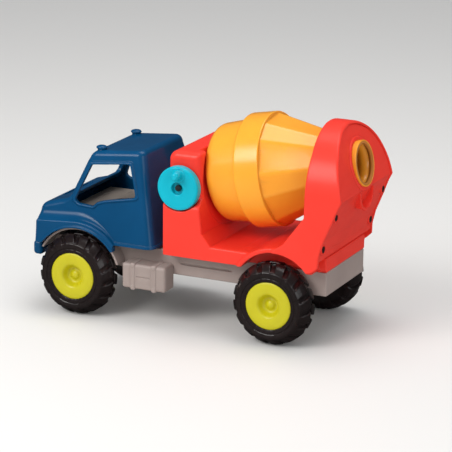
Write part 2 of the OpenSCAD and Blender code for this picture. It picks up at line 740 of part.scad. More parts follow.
chassis_frame();
side_box_left();
side_box_right();
cab_shell();
cab_seat_tray();
body_shell();
hoop_back_panel();
crank_bracket();
bracket_screws();
drum_front_cup();
drum_rear_cone();
drum_spindle();
crown_gear();
drum_screw();
spindle_washer();
mouth_seal_ring();
crank_disc();
crank_shaft();
crank_pinion();
crank_screw();
crank_washer();
front_axle();
front_rim_left();
front_rim_right();
front_tyre_left();
front_tyre_right();
front_axle_spacers();
rear_axle();
rear_rim_left();
rear_rim_right();
rear_tyre_left();
rear_tyre_right();
rear_axle_spacers();
cab_screws();
body_screws();
side_box_screws();
panel_screws();
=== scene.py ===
import math

import bpy
import numpy as np
from mathutils import Matrix, Vector


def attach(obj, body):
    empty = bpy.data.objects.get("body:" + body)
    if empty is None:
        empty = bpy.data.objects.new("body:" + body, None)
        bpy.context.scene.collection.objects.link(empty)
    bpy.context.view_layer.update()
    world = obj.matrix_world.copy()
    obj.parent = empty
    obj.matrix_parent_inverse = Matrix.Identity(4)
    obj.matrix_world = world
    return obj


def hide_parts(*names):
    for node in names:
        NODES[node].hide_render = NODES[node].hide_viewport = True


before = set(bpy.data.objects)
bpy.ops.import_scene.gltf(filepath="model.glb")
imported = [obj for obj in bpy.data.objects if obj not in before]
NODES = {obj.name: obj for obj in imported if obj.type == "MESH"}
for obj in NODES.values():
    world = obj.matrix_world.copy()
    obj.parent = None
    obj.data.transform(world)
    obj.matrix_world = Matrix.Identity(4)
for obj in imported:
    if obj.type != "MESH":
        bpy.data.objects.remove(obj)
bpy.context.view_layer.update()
FINE = 1.0      # coarser meshes while trying things

# Everything below is worked out in millimetres in the truck's own frame: x from the front axle, z from 1.5 mm above
# the ground. XO and ZO carry it into the row frame.
XO, ZO = -112.0, 1.5
T = math.radians(10.3)
CT, ST = math.cos(T), math.sin(T)
DX0, DZ0 = 162.1, 147.2                  # ring plane of the drum, on its axis
GX, GZ = DX0 - 54.5 * CT, DZ0 - 54.5 * ST  # crank axis


# ---------------------------------------------------------------- distance fields
def rmax(a, b, r=0.0):
    """Intersection with a rounded outer edge of radius r."""
    if np.isscalar(r) and r <= 0:
        return np.maximum(a, b)
    return np.minimum(-r, np.maximum(a, b)) + np.hypot(np.maximum(a + r, 0), np.maximum(b + r, 0))


def rmin(a, b, r=0.0):
    """Union with a filleted inner edge of radius r."""
    if np.isscalar(r) and r <= 0:
        return np.minimum(a, b)
    return np.maximum(r, np.minimum(a, b)) - np.hypot(np.maximum(r - a, 0), np.maximum(r - b, 0))


def edge(x, z, a, b):
    """Signed distance to the line a-b, positive on its right-hand side (outside of a counter-clockwise outline)."""
    dx, dz = b[0] - a[0], b[1] - a[1]
    n = math.hypot(dx, dz)
    return ((x - a[0]) * dz - (z - a[1]) * dx) / n


def poly(px, py, V):
    """Exact signed distance to a polygon."""
    d = np.full(px.shape, 1e18)
    s = np.ones(px.shape)
    n = len(V)
    for i in range(n):
        ax, ay = V[i]
        bx, by = V[i - 1]
        ex, ey = bx - ax, by - ay
        wx, wy = px - ax, py - ay
        t = np.clip((wx * ex + wy * ey) / (ex * ex + ey * ey), 0, 1)
        qx, qy = wx - ex * t, wy - ey * t
        d = np.minimum(d, qx * qx + qy * qy)
        c1, c2, c3 = py >= ay, py < by, ex * wy > ey * wx
        s = np.where((c1 & c2 & c3) | (~c1 & ~c2 & ~c3), -s, s)
    return s * np.sqrt(d)


def rbox(x, y, z, lo, hi, r=1.0):
    """Box with rounded edges and corners."""
    qx = np.abs(x - (lo[0] + hi[0]) / 2) - (hi[0] - lo[0]) / 2 + r
    qy = np.abs(y - (lo[1] + hi[1]) / 2) - (hi[1] - lo[1]) / 2 + r
    qz = np.abs(z - (lo[2] + hi[2]) / 2) - (hi[2] - lo[2]) / 2 + r
    out = np.sqrt(np.maximum(qx, 0) ** 2 + np.maximum(qy, 0) ** 2 + np.maximum(qz, 0) ** 2)
    return out + np.minimum(np.maximum(qx, np.maximum(qy, qz)), 0) - r


def smooth(e0, e1, x):
    t = np.clip((x - e0) / (e1 - e0), 0, 1)
    return t * t * (3 - 2 * t)


def drum_coords(x, y, z):
    """Distance along the drum's axis from its ring plane, radius, and angle from the top towards the crank side."""
    dx, dz = x - DX0, z - DZ0
    s = dx * CT + dz * ST
    a = -dx * ST + dz * CT
    return s, np.hypot(a, y), np.arctan2(-y, a)


# ---------------------------------------------------------------- meshing
def surface(f, lo, hi, h, relax=2):
    """Vertices and quads of the surface f = 0 inside the box, on a grid of step h, pulled onto the surface."""
    B = 8
    lo = np.array(lo, float)
    nb = np.ceil((np.array(hi, float) - lo) / (h * B)).astype(int)
    c = [lo[i] + (np.arange(nb[i]) + 0.5) * h * B for i in range(3)]
    X, Y, Z = np.meshgrid(*c, indexing="ij")
    D = f(X.ravel(), Y.ravel(), Z.ravel()).reshape(X.shape)
    V = np.repeat(np.repeat(np.repeat(D, B, 0), B, 1), B, 2).astype(np.float32)
    reach = h * B * math.sqrt(3) / 2 * 1.35 + 2 * h
    act = np.argwhere(np.abs(D) < reach)
    g = np.arange(B)
    O = np.stack(np.meshgrid(g, g, g, indexing="ij"), -1).reshape(-1, 3)
    for k in range(0, len(act), 600):
        I = (act[k:k + 600, None, :] * B + O[None]).reshape(-1, 3)
        P = lo + I * h
        V[I[:, 0], I[:, 1], I[:, 2]] = f(P[:, 0], P[:, 1], P[:, 2])
    S = V < 0
    s8 = [S[a:S.shape[0] - 1 + a, b:S.shape[1] - 1 + b, d:S.shape[2] - 1 + d] for a in (0, 1) for b in (0, 1) for d in (0, 1)]
    cnt = sum(q.astype(np.uint8) for q in s8)
    cells = np.argwhere((cnt > 0) & (cnt < 8))
    ids = -np.ones(cnt.shape, np.int64)
    ids[cells[:, 0], cells[:, 1], cells[:, 2]] = np.arange(len(cells))
    acc = np.zeros((len(cells), 3))
    num = np.zeros(len(cells))
    corners = [(a, b, d) for a in (0, 1) for b in (0, 1) for d in (0, 1)]
    val = {q: V[cells[:, 0] + q[0], cells[:, 1] + q[1], cells[:, 2] + q[2]].astype(float) for q in corners}
    for q in corners:
        for ax in range(3):
            if q[ax]:
                continue
            p = list(q); p[ax] = 1; p = tuple(p)
            va, vb = val[q], val[p]
            m = (va < 0) != (vb < 0)
            t = np.where(m, va / np.where(m, va - vb, 1), 0)
            pt = np.tile(np.array(q, float), (len(cells), 1))
            pt[:, ax] = t
            acc += pt * m[:, None]
            num += m
    P = lo + (cells + acc / num[:, None]) * h
    quads = []
    for ax in range(3):
        o = [(1, 2), (2, 0), (0, 1)][ax]
        sl = [slice(1, -1)] * 3
        sl[ax] = slice(0, S.shape[ax] - 1)
        sl2 = list(sl); sl2[ax] = slice(1, S.shape[ax])
        a, b = S[tuple(sl)], S[tuple(sl2)]
        for flag, rev in ((a & ~b, False), (~a & b, True)):
            E = np.argwhere(flag)
            off = np.ones(3, int); off[ax] = 0
            E = E + off
            e1 = np.zeros(3, int); e1[o[0]] = 1
            e2 = np.zeros(3, int); e2[o[1]] = 1
            q = [E - e1 - e2, E - e2, E, E - e1]
            q = np.stack([ids[w[:, 0], w[:, 1], w[:, 2]] for w in q], 1)
            q = q[(q >= 0).all(1)]
            quads.append(q[:, ::-1] if rev else q)
    Q = np.concatenate(quads)
    P = pull(f, P, h, 3)
    if relax:
        e = np.concatenate([Q[:, [0, 1]], Q[:, [1, 2]], Q[:, [2, 3]], Q[:, [3, 0]]])
        e = np.concatenate([e, e[:, ::-1]])
        deg = np.bincount(e[:, 0], minlength=len(P)).astype(float)
        for _ in range(relax):
            s = np.stack([np.bincount(e[:, 0], weights=P[e[:, 1], i], minlength=len(P)) for i in range(3)], 1)
            M = s / np.maximum(deg, 1)[:, None] - P
            N = grad(f, P)
            M -= N * (M * N).sum(1)[:, None]
            P = pull(f, P + 0.5 * M, h, 1)
    return P, Q


def grad(f, P, e=0.03):
    """Unit normals of f."""
    k = np.array([[1, -1, -1], [-1, -1, 1], [-1, 1, -1], [1, 1, 1]], float)
    G = sum(d * f(*(P + e * d).T)[:, None] for d in k)
    n = np.linalg.norm(G, axis=1)[:, None]
    return G / np.maximum(n, 1e-12)


def pull(f, P, h, n):
    for _ in range(n):
        e = 0.02
        k = np.array([[1, -1, -1], [-1, -1, 1], [-1, 1, -1], [1, 1, 1]], float)
        v = [f(*(P + e * d).T) for d in k]
        G = sum(d * w[:, None] for d, w in zip(k, v)) / (4 * e)
        d0 = sum(v) / 4
        g2 = np.maximum((G * G).sum(1), 0.04)
        P = P - (np.clip(d0, -h, h) / g2)[:, None] * G
    return P


COLL = bpy.context.scene.collection


def build(name, f, lo, hi, h, body, mat, stands=(), keep=0.4, to_row=None, relax=2):
    """A piece from a distance field: meshed, thinned where it is flat, with exact normals and a curvature attribute."""
    h = h * FINE
    P, Q = surface(f, lo, hi, h, relax)
    me = bpy.data.meshes.new(name)
    me.vertices.add(len(P))
    me.vertices.foreach_set("co", P.astype(np.float32).ravel())
    me.loops.add(len(Q) * 4)
    me.loops.foreach_set("vertex_index", Q.astype(np.int32).ravel())
    me.polygons.add(len(Q))
    me.polygons.foreach_set("loop_start", np.arange(0, len(Q) * 4, 4, dtype=np.int32))
    me.update(calc_edges=True)
    me.validate()
    ob = bpy.data.objects.new(name, me)
    COLL.objects.link(ob)
    if keep < 1:
        m = ob.modifiers.new("thin", "DECIMATE")
        m.ratio = keep
        m.use_collapse_triangulate = True
        dg = bpy.context.evaluated_depsgraph_get()
        new = bpy.data.meshes.new_from_object(ob.evaluated_get(dg))
        ob.modifiers.clear()
        ob.data = new
        bpy.data.meshes.remove(me)
        me = new
        me.name = name
    co = np.zeros(len(me.vertices) * 3, np.float32)
    me.vertices.foreach_get("co", co)
    P = co.reshape(-1, 3).astype(float)
    P = pull(f, P, h * 0.5, 2)
    finish_mesh(ob, me, P, f, to_row)
    ob.data.materials.clear()
    ob.data.materials.append(mat)
    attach(ob, body)
    if stands:
        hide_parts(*stands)
    return ob


def finish_mesh(ob, me, P, f, to_row):
    N = grad(f, P, 0.12)
    e = 0.9
    lap = sum(f(*(P + np.array(d, float) * e).T) for d in ((1, 0, 0), (-1, 0, 0), (0, 1, 0), (0, -1, 0), (0, 0, 1), (0, 0, -1)))
    curv = np.clip((lap - 6 * f(*P.T)) / (e * e), -1.5, 1.5)
    W = to_row(P) if to_row is not None else P + np.array([XO, 0, ZO])
    if to_row is not None:
        N = to_row(P + N) - W
    me.vertices.foreach_set("co", (W * 0.001).astype(np.float32).ravel())
    at = me.attributes.new("curv", "FLOAT", "POINT")
    at.data.foreach_set("value", curv.astype(np.float32))
    me.polygons.foreach_set("use_smooth", np.ones(len(me.polygons), bool))
    me.update()
    me.normals_split_custom_set_from_vertices(N.astype(np.float32).tolist())


def lathe(name, prof, n, centre, axis, body, mat, stands=(), round_r=0.0, start=None):
    """A turned piece: prof is (radius, distance along axis) points, in mm, from centre (row frame, mm) along axis."""
    pts = []
    L = len(prof)
    for i, p in enumerate(prof):
        r = p[2] if len(p) > 2 else round_r
        a = np.array(prof[i - 1][:2], float) if i > 0 else None
        c = np.array(prof[i + 1][:2], float) if i < L - 1 else None
        b = np.array(p[:2], float)
        if a is None or c is None or r <= 0:
            pts.append(b)
            continue
        u, v = a - b, c - b
        lu, lv = np.linalg.norm(u), np.linalg.norm(v)
        r = min(r, 0.48 * lu, 0.48 * lv)
        k = 5
        for j in range(k + 1):
            t = j / k
            pts.append((1 - t) ** 2 * (b + u / lu * r) + 2 * t * (1 - t) * b + t * t * (b + v / lv * r))
    pts = np.array(pts)
    ax = np.array(axis, float); ax /= np.linalg.norm(ax)
    ref = np.array(start if start is not None else (0, 0, 1.0))
    e1 = ref - ax * (ref @ ax); e1 /= np.linalg.norm(e1)
    e2 = np.cross(ax, e1)
    th = np.arange(n) * 2 * math.pi / n
    ring = np.cos(th)[:, None] * e1 + np.sin(th)[:, None] * e2
    verts, faces, idx = [], [], []
    for r, s in pts:
        if r < 1e-6:
            idx.append([len(verts)])
            verts.append(np.array(centre) + ax * s)
        else:
            idx.append(list(range(len(verts), len(verts) + n)))
            verts.extend(np.array(centre) + ax * s + ring * r)
    for a, b in zip(idx, idx[1:]):
        for j in range(n):
            k = (j + 1) % n
            if len(a) == 1 and len(b) == 1:
                continue
            if len(a) == 1:
                faces.append((a[0], b[j], b[k]))
            elif len(b) == 1:
                faces.append((a[j], b[0], a[k]))
            else:
                faces.append((a[j], b[j], b[k], a[k]))
    if len(idx[0]) > 1 and len(idx[-1]) > 1:          # a closed ring profile
        a, b = idx[-1], idx[0]
        for j in range(n):
            k = (j + 1) % n
            faces.append((a[j], b[j], b[k], a[k]))
    me = bpy.data.meshes.new(name)
    me.from_pydata([tuple(v * 0.001) for v in verts], [], faces)
    me.validate()
    import bmesh
    bm = bmesh.new(); bm.from_mesh(me)
    bmesh.ops.remove_doubles(bm, verts=bm.verts, dist=2e-6)
    bmesh.ops.recalc_face_normals(bm, faces=bm.faces)
    bm.to_mesh(me); bm.free()
    me.polygons.foreach_set("use_smooth", np.ones(len(me.polygons), bool))
    at = me.attributes.new("curv", "FLOAT", "POINT")
    ob = bpy.data.objects.new(name, me)
    COLL.objects.link(ob)
    me.materials.append(mat)
    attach(ob, body)
    if stands:
        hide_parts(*stands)
    return ob


# ---------------------------------------------------------------- materials
def plastic(name, col, rough, coat=0.0, coat_r=0.06, grain=0.35, vary=0.06, edge=0.25, sss=0.0, mottled=0.0, speck=0.0, spec=0.5, peel_s=0.05):
    """Moulded plastic: cloudy colour, a painted highlight and wear along convex edges and painted shade in creases
    (both from curvature), smudged gloss, orange peel and fine grain.
    """
    m = bpy.data.materials.new(name)
    m.use_nodes = True
    nt = m.node_tree
    N, L = nt.nodes, nt.links
    bsdf = N["Principled BSDF"]

    def node(kind, **kw):
        n = N.new(kind)
        for k, v in kw.items():
            if hasattr(n, k):
                setattr(n, k, v)
            else:
                n.inputs[k].default_value = v
        return n

    def noise(scale, detail, rough_, dist=0.0):
        n = N.new("ShaderNodeTexNoise")
        n.inputs["Scale"].default_value = scale
        n.inputs["Detail"].default_value = detail
        n.inputs["Roughness"].default_value = rough_
        n.inputs["Distortion"].default_value = dist
        L.new(co.outputs["Object"], n.inputs["Vector"])
        return n

    def math_(op, a, b=None, clamp=False):
        n = N.new("ShaderNodeMath")
        n.operation = op
        n.use_clamp = clamp
        for i, v in enumerate((a, b)):
            if v is None:
                continue
            if isinstance(v, (int, float)):
                n.inputs[i].default_value = v
            else:
                L.new(v, n.inputs[i])
        return n.outputs[0]

    def mix(fac, a, b, mode="MIX"):
        n = N.new("ShaderNodeMix")
        n.data_type = "RGBA"
        n.blend_type = mode
        for sock, v in ((n.inputs[0], fac), (n.inputs[6], a), (n.inputs[7], b)):
            if isinstance(v, (int, float)):
                sock.default_value = v
            elif isinstance(v, tuple):
                sock.default_value = v
            else:
                L.new(v, sock)
        return n.outputs[2]

    co = N.new("ShaderNodeTexCoord")
    base = tuple(col) + (1.0,)
    deep = tuple(c * (1 - 2.2 * vary) for c in col) + (1.0,)
    pale = tuple(min(1, c * (1 + 1.6 * vary) + 0.02 * vary) for c in col) + (1.0,)
    cloud = noise(16, 4, 0.55, 0.4)
    fine = noise(260, 3, 0.6)
    ramp = math_("MULTIPLY", math_("SUBTRACT", cloud.outputs["Fac"], 0.32), 2.6, clamp=True)
    c = mix(ramp, deep, pale)
    c = mix(math_("MULTIPLY", math_("SUBTRACT", fine.outputs["Fac"], 0.4), 0.9 * vary * 6, clamp=True), c, base)
    if mottled:
        mot = noise(900, 2, 0.7)
        c = mix(math_("MULTIPLY", math_("SUBTRACT", mot.outputs["Fac"], 0.45), 4.0 * mottled, clamp=True), c, deep)
    # painted highlight and wear: the colour is lightened along convex edges, read from the curvature attribute
    at = N.new("ShaderNodeAttribute")
    at.attribute_name = "curv"
    up = math_("MULTIPLY", at.outputs["Fac"], 1.6, clamp=True)
    wear_and_shade_noise = noise(120, 5, 0.75, 0.6)
    edge_wear_and_highlight = math_("MULTIPLY", up, math_("MULTIPLY", math_("SUBTRACT", wear_and_shade_noise.outputs["Fac"], 0.34), 2.4, clamp=True), clamp=True)
    light = tuple(min(1, v * 1.3 + 0.008) for v in col) + (1.0,)
    c = mix(math_("MULTIPLY", edge_wear_and_highlight, edge), c, light)
    # painted shade: the colour is darkened in concave creases, read from the curvature attribute
    dn = math_("MULTIPLY", at.outputs["Fac"], -1.3, clamp=True)
    crease_shade = math_("MULTIPLY", dn, math_("ADD", math_("MULTIPLY", wear_and_shade_noise.outputs["Fac"], 0.7), 0.2), clamp=True)
    dark = tuple(v * 0.55 for v in col) + (1.0,)
    c = mix(math_("MULTIPLY", crease_shade, 0.35), c, dark)
    if speck:
        vo = N.new("ShaderNodeTexVoronoi")
        vo.inputs["Scale"].default_value = 700
        L.new(co.outputs["Object"], vo.inputs["Vector"])
        sp = math_("LESS_THAN", vo.outputs["Distance"], 0.16)
        c = mix(math_("MULTIPLY", sp, speck), c, tuple(v * 0.5 for v in col) + (1.0,))
    L.new(c, bsdf.inputs["Base Color"])
    smudge = noise(34, 5, 0.62, 0.9)
    r = math_("ADD", math_("MULTIPLY", math_("SUBTRACT", smudge.outputs["Fac"], 0.5), 0.14), rough)
    r = math_("ADD", r, math_("MULTIPLY", edge_wear_and_highlight, 0.08))
    r = math_("ADD", r, math_("MULTIPLY", math_("SUBTRACT", fine.outputs["Fac"], 0.5), 0.05), clamp=True)
    L.new(r, bsdf.inputs["Roughness"])
    bsdf.inputs["IOR"].default_value = 1.48
    bsdf.inputs["Specular IOR Level"].default_value = spec
    if coat:
        bsdf.inputs["Coat Weight"].default_value = coat
        bsdf.inputs["Coat Roughness"].default_value = coat_r
    if sss:
        bsdf.inputs["Subsurface Weight"].default_value = sss
        bsdf.inputs["Subsurface Radius"].default_value = (0.004, 0.002, 0.001)
        bsdf.inputs["Subsurface Scale"].default_value = 0.5
    peel = noise(90, 2, 0.5)
    gr = noise(1900, 3, 0.65)
    b1 = N.new("ShaderNodeBump")
    b1.inputs["Strength"].default_value = peel_s
    b1.inputs["Distance"].default_value = 0.0003
    L.new(peel.outputs["Fac"], b1.inputs["Height"])
    b2 = N.new("ShaderNodeBump")
    b2.inputs["Strength"].default_value = grain
    b2.inputs["Distance"].default_value = 0.00006
    L.new(gr.outputs["Fac"], b2.inputs["Height"])
    L.new(b1.outputs["Normal"], b2.inputs["Normal"])
    L.new(b2.outputs["Normal"], bsdf.inputs["Normal"])
    return m


def metal(name, col, rough):
    m = bpy.data.materials.new(name)
    m.use_nodes = True
    N, L = m.node_tree.nodes, m.node_tree.links
    b = N["Principled BSDF"]
    co = N.new("ShaderNodeTexCoord")
    n = N.new("ShaderNodeTexNoise")
    n.inputs["Scale"].default_value = 220
    n.inputs["Detail"].default_value = 6
    L.new(co.outputs["Object"], n.inputs["Vector"])
    ra = N.new("ShaderNodeValToRGB")
    ra.color_ramp.elements[0].color = tuple(v * 0.6 for v in col) + (1,)
    ra.color_ramp.elements[0].position = 0.35
    ra.color_ramp.elements[1].color = tuple(col) + (1,)
    ra.color_ramp.elements[1].position = 0.65
    L.new(n.outputs["Fac"], ra.inputs["Fac"])
    L.new(ra.outputs["Color"], b.inputs["Base Color"])
    mr = N.new("ShaderNodeMapRange")
    mr.inputs["To Min"].default_value = rough - 0.1
    mr.inputs["To Max"].default_value = rough + 0.15
    L.new(n.outputs["Fac"], mr.inputs["Value"])
    L.new(mr.outputs["Result"], b.inputs["Roughness"])
    b.inputs["Metallic"].default_value = 1.0
    bu = N.new("ShaderNodeBump")
    bu.inputs["Strength"].default_value = 0.2
    bu.inputs["Distance"].default_value = 0.0001
    L.new(n.outputs["Fac"], bu.inputs["Height"])
    L.new(bu.outputs["Normal"], b.inputs["Normal"])
    return m


def srgb(h):
    v = [int(h[i:i + 2], 16) / 255 for i in (0, 2, 4)]
    return tuple(c / 12.92 if c <= 0.04045 else ((c + 0.055) / 1.055) ** 2.4 for c in v)


BLUE = plastic("cab_blue", srgb("00446E"), 0.36, coat=0.36, coat_r=0.09, grain=0.08, vary=0.05, edge=0.28, spec=0.10, peel_s=0.03)
RED = plastic("body_red", srgb("F43A2C"), 0.44, coat=0.18, coat_r=0.16, grain=0.18, vary=0.03, edge=0.20, sss=0.06, spec=0.22)
AMBER = plastic("drum_amber", srgb("FFA830"), 0.32, coat=0.6, coat_r=0.085, grain=0.06, vary=0.03, edge=0.25, sss=0.08, spec=0.3, peel_s=0.015)
CYAN = plastic("crank_cyan", srgb("00AFC4"), 0.34, coat=0.4, coat_r=0.08, grain=0.10, vary=0.04, edge=0.3, sss=0.03, spec=0.15)
YELLOW = plastic("rim_yellow", srgb("C4BC0A"), 0.42, coat=0.15, coat_r=0.2, grain=0.25, vary=0.03, edge=0.2, sss=0.05)
BLACK = plastic("tyre_black", srgb("1A0F0F"), 0.36, coat=0.6, coat_r=0.14, grain=0.20, vary=0.12, edge=0.30, spec=0.3)
GREY = plastic("chassis_grey", srgb("9F908A"), 0.50, grain=0.35, vary=0.04, edge=0.25)
TRAY = plastic("tray_grey", srgb("9A8E84"), 0.62, grain=0.9, vary=0.05, edge=0.2, mottled=0.8, speck=0.35)
WHITE = plastic("gear_white", srgb("E6E3D8"), 0.4, grain=0.2, vary=0.04)
RUBBER = plastic("seal_rubber", srgb("C77A28"), 0.6, grain=0.5, vary=0.08)
STEEL = metal("axle_steel", (0.62, 0.62, 0.63), 0.32)
SCREW = metal("screw_dark", (0.14, 0.14, 0.15), 0.42)


# ---------------------------------------------------------------- outlines
def ln(x, z, a, b):
    """Signed distance to the line a-b, positive on its left."""
    dx, dz = b[0] - a[0], b[1] - a[1]
    return ((z - a[1]) * dx - (x - a[0]) * dz) / math.hypot(dx, dz)


def inset(V, r):
    """The outline moved inwards by r; works for both windings."""
    V = [np.array(v, float) for v in V]
    area = sum(a[0] * b[1] - b[0] * a[1] for a, b in zip(V, V[1:] + V[:1]))
    sg = 1 if area > 0 else -1
    out = []
    for i in range(len(V)):
        a, b, c = V[i - 1], V[i], V[(i + 1) % len(V)]
        u, v = b - a, c - b
        u, v = u / np.linalg.norm(u), v / np.linalg.norm(v)
        n1, n2 = sg * np.array([-u[1], u[0]]), sg * np.array([-v[1], v[0]])
        m = n1 + n2
        out.append(tuple(b + m * r / max((m @ n1), 0.2)))
    return out


def soft(px, py, V, r):
    return poly(px, py, inset(V, r)) - r


# ---------------------------------------------------------------- cab
SIDE_WIN = [(8, 145), (49, 149.5), (58.5, 119), (25, 112.8), (17, 110), (13.5, 106), (-2, 107), (-7, 110)]
SIDE_LIP = [(5.7, 147.4), (51.1, 152.2), (61.6, 117.2), (25.7, 110.5), (18.4, 108), (14.4, 103.6), (-2.8, 104.7), (-10.6, 109.6)]
SCREEN = [(-44.5, 115), (44.5, 115), (38, 149), (-38, 149)]
A_C = (0.5, 38.5)


def cab_skin(x, y, z):
    ay = np.abs(y)
    side = ((ay - 62.5) + (z - 72) * 0.21505) / 1.02286
    rear = ln(x, z, (62, 163), (81, 72))
    top = rmin(rmax(-44.5 - x, ln(x, z, (-44.5, 102), (-14, 110.5)), 6.0),
               rmax(ln(x, z, (-14, 110.5), (6.5, 157.5)), ln(x, z, (6.5, 157.5), (62, 163)), 5.0), 4.0)
    back = rmax(rear, side, 6.0 + 2 * smooth(40, 60, x))
    return rmax(top, back, 5.0), side


def flare(x, y, z):
    """The flared arch over a front wheel, as a solid out to |y| 67."""
    ay = np.abs(y)
    # the arch runs on forward as a straight shelf, tangent to the circle
    px, pz = x - A_C[0], z - A_C[1]
    f2 = np.where(px * 0.9975 + pz * 0.0709 > 0, np.hypot(px, pz), -0.0709 * px + 0.9975 * pz) - 53.0
    f2 = rmax(f2, -43.8 - x, 2.0)
    return rmax(f2, ay - 67.0, 1.6)


def cab(x, y, z):
    ay = np.abs(y)
    skin, side = cab_skin(x, y, z)
    shell = np.maximum(skin, -(skin + 3.0))
    # flares join the sides with a soft fillet in front and a crisp line behind
    fl = np.maximum(flare(x, y, z), 44.0 - ay)
    rf = 1.0 + 7.5 * (1 - smooth(-4, 42, x))
    f = rmin(shell, np.maximum(fl, -(skin + 3.0)), rf)
    # lip along the bottom edge behind the arch
    lip = np.maximum(np.maximum(skin - 0.9, -(skin + 2.0)), z - 75.0)
    f = rmin(f, lip, 0.5)
    f = np.maximum(f, 72.0 - z + np.where((x < 40) & (ay > 46), -6.0, 0.0))
    f = rmax(f, 66.2 - z, 0.6)
    # raised lips round the openings
    d = poly(x, z, inset(SIDE_LIP, 3.0)) - 3.0
    wl = rmax(rmax(d, skin - 1.3, 1.1), np.maximum(30 - ay, -(skin + 2.5)), 0)
    f = rmin(f, wl, 0.9)
    ds = poly(y, z, inset(SCREEN, 4.5)) - 4.5
    sl = rmax(rmax(ds - 2.6, skin - 1.1, 0.9), np.maximum(x - 14, -(skin + 2.5)), 0)
    f = rmin(f, sl, 0.9)
    # slot in the bonnet
    slot = rbox(x, y, z, (-36, -26, 100), (-26, 26, 112), 1.5)
    f = rmax(f, -np.maximum(slot, -(skin + 1.1)), 0.4)
    # openings
    dw = soft(x, z, SIDE_WIN, 3.0)
    f = rmax(f, -np.maximum(dw, 30 - ay), 0.9)
    f = rmax(f, -np.maximum(ds, x - 22), 0.9)
    # wheel arch with a raised inner lip
    arch = np.hypot(x - A_C[0], z - A_C[1])
    band = np.maximum(rmax(arch - 48.8, ay - 68.0, 0.8), np.maximum(62.0 - ay, 66.2 - z))
    f = rmin(f, np.maximum(band, -44.5 - x), 0.9)
    f = rmax(f, -np.maximum(arch - 46.5, 45.8 - ay), 0.8)
    # bumper, louvres
    f = rmin(f, rbox(x, y, z, (-52, -59, 50), (-42, 59, 64), 3.6), 1.5)
    f = rmin(f, rbox(x, y, z, (-44.5, -44, 52), (-39, 44, 76), 1.0), 1.0)
    for i in range(5):
        f = rmin(f, rbox(x, y, z, (-45.9, -34, 71 + i * 5.4), (-42, 34, 74 + i * 5.4), 0.9), 0.4)
    # marker lights
    for s in (-1, 1):
        px, py, pz = x - 13.0, y - 36.0 * s, z - 160.4
        k = np.sqrt((px / 5.4) ** 2 + (py / 5.1) ** 2 + (pz / 2.3) ** 2)
        cap = (k - 1) * 2.3 * np.minimum(1.6, np.maximum(1, k * 0 + 1))
        neck = np.maximum(np.hypot(px, py) - 4.1, np.abs(z - 158.4) - 1.8)
        f = rmin(f, rmin(cap, neck, 0.2), 0.5)
    # clear of the chassis
    f = np.maximum(f, -np.maximum(np.maximum(-36.2 - x, ay - 46.2), z - 70.0))
    return f * 0.96


# ---------------------------------------------------------------- seat tray
def tray(x, y, z):
    ay = np.abs(y)
    f = rbox(x, y, z, (-20.5, -44, 95), (56, 44, 98), 0.8)
    f = rmin(f, rbox(x, ay, z, (2, 38, 70.05), (56, 41, 96), 0.8), 1.0)
    f = rmin(f, rbox(x, y, z, (46, -30, 96), (56, 30, 112), 2.4), 1.5)
    c = np.hypot(x - 24, y)
    f = rmin(f, np.maximum(c - 19, np.abs(z - 92) - 6), 0.8)
    f = rmax(f, -np.maximum(c - 16.5, np.abs(z - 94) - 6), 0.7)
    # ribs across the floor
    for i in range(3):
        f = rmin(f, rbox(x, ay, z, (6 + 12 * i, 26, 97.5), (8 + 12 * i, 38, 98.7), 0.5), 0.4)
    return f


# ---------------------------------------------------------------- body
LOW = [(92, 58), (92, 127), (129.65, 127), (133.2, 95), (142.2, 84), (192, 84), (192, 80), (182.6, 77), (164, 58)]
HOOP = [(205, 78), (208, 90.5), (218.6, 98), (230, 113.7), (238.5, 125.3), (238.5, 182), (236.8, 197), (234, 212),
        (250, 212), (257.2, 201), (261.2, 193.5), (265.3, 182.5), (269.3, 169), (272.8, 156.4), (275.6, 143.4),
        (271.9, 136), (265.8, 120.3), (258.7, 103.4), (255.3, 90.6), (254.7, 80), (249, 74.5), (240, 72)]


def hoop_front(y, z):
    ay = np.abs(y)
    leg = ln(-ay, z, (-69, 70), (-65, 140))
    return np.where(z > 140, np.hypot(y, z - 140) - 65.0, leg)


def body_outer(x, y, z):
    ay = np.abs(y)
    low = soft(x, z, LOW, 0.9)
    low = rmax(low, ay - 63.0, 2.2)
    low = rmax(low, ln(-ay, z, (-63, 119.5), (-55, 126.5)), 1.6)
    rear = ln(x, z, (127.45, 171), (131.0, 100))
    top = rmax(rmax(94 - x, z - 171, 9.0), rear, 3.2)
    top = rmax(top, ay - 55.0, 6.5)
    top = np.maximum(top, 100 - z)
    # round recess behind the crank
    rec = np.maximum(np.hypot(x - GX, z - GZ) - 22.6, np.maximum(55.4 - ay, y))
    low = rmax(low, -rec, 0.8)
    return rmin(low, top, 1.2)


def hump(x, y, z):
    return rmax(np.hypot(x - 210.3, z - 46.0) - 46.4, np.abs(y) - 66.0, 1.6)


